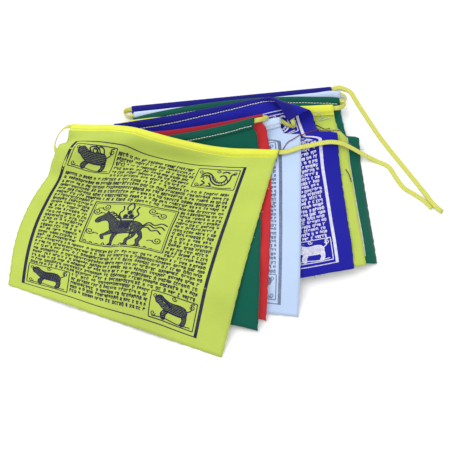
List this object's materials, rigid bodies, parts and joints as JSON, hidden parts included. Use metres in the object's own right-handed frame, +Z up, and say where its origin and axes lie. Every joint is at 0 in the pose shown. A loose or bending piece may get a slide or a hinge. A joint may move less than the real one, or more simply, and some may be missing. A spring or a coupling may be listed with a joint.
{
  "type": "tibetan prayer flag string",
  "caption": "String of square cloth flags in repeating colours on one flat cord, folded zigzag into a pile with the hems fanned at the back and two free cord ends.",
  "frame": {"origin": "on the surface it rests on, below the middle of the flags' overall box", "axes": "+X along the hems from left to right, +Y to the hemmed edges at the back, +Z up"},
  "size_m": [0.4304, 0.2956, 0.047],
  "materials": {
    "cloth_yellow": "matt woven cotton, block-printed on one face",
    "cloth_green": "matt woven cotton, block-printed on one face",
    "cloth_red": "matt woven cotton, block-printed on one face",
    "cloth_white": "matt woven cotton, block-printed on one face",
    "cloth_blue": "matt woven cotton, block-printed on one face",
    "cord": "matt flat braid",
    "print_dark": "matt block-printing ink",
    "print_white": "matt block-printing ink",
    "thread": "matt sewing thread"
  },
  "bodies": {
    "root": {"flag_01_yellow": "cloth_yellow", "flag_02_green": "cloth_green", "flag_03_red": "cloth_red", "flag_04_white": "cloth_white", "flag_05_blue": "cloth_blue", "flag_06_yellow": "cloth_yellow", "flag_07_green": "cloth_green", "flag_08_red": "cloth_red", "flag_09_white": "cloth_white", "flag_10_blue": "cloth_blue", "cord_run": "cord", "cord_tail_front": "cord", "cord_tail_back": "cord"}
  },
  "joints": []
}
